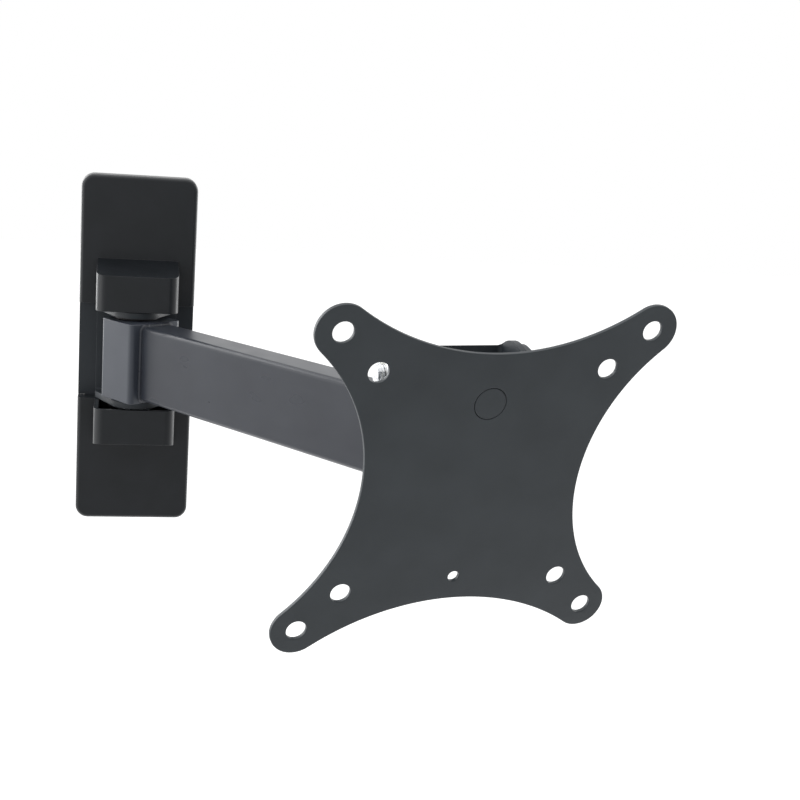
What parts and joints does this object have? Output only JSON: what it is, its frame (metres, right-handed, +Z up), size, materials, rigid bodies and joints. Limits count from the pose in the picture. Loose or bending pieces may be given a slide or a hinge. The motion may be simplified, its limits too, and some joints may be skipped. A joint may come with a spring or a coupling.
{
  "type": "full motion tv wall mount",
  "caption": "Small screen wall mount: a covered upright wall plate, a single swinging box arm, and a swivelling, tilting plate with hollowed sides and round lobes.",
  "frame": {"origin": "centre of the wall plate's back face, where it lies on the wall", "axes": "+Z up, -Y out from the wall into the room, +X to the right for someone who faces the wall"},
  "size_m": [0.1841, 0.2087, 0.143],
  "materials": {
    "black_paint": "satin powder coat",
    "black_plastic": "satin moulded plastic",
    "black_nylon": "matt moulded nylon",
    "zinc": "bright zinc plate"
  },
  "bodies": {
    "wall_side": {"wall_plate": "black_paint", "pivot_bracket": "black_paint", "upper_cover": "black_plastic", "lower_cover": "black_plastic", "wall_pivot_bolt": "zinc", "wall_pivot_upper_washer": "zinc", "wall_pivot_lower_washer": "zinc", "wall_pivot_lock_nut": "zinc"},
    "arm": {"wall_knuckle": "black_paint", "wall_bush_upper": "black_nylon", "wall_bush_lower": "black_nylon", "arm_tube": "black_paint", "head_knuckle": "black_paint", "head_bush_upper": "black_nylon", "head_bush_lower": "black_nylon"},
    "head": {"swivel_bracket": "black_paint", "tilt_yoke": "black_paint", "head_swivel_bolt": "zinc", "head_swivel_upper_washer": "zinc", "head_swivel_lower_washer": "zinc", "head_swivel_lock_nut": "zinc"},
    "tilting_plate": {"vesa_plate": "black_paint", "tilt_bracket": "black_paint", "plate_rivet": "black_paint", "tilt_bolt": "zinc", "tilt_head_washer": "zinc", "tilt_nut_washer": "zinc", "tilt_lock_nut": "zinc", "tilt_friction_disc_right": "black_nylon", "tilt_friction_disc_left": "black_nylon"}
  },
  "joints": [
    {"name": "wall_swivel", "type": "hinge", "parent": "wall_side", "child": "arm", "pos_m": [0, -0.0185, 0], "axis": [0, 0, 1], "range_deg": [-127.5, 52.5]},
    {"name": "head_swivel", "type": "hinge", "parent": "arm", "child": "head", "pos_m": [0.09131, -0.1375, 0], "axis": [0, 0, 1], "range_deg": [-65, 115]},
    {"name": "tilt", "type": "hinge", "parent": "head", "child": "tilting_plate", "pos_m": [0.09846, -0.16972, 0.0294], "axis": [0.9763, 0.2164, 0], "range_deg": [-29, 1]}
  ]
}
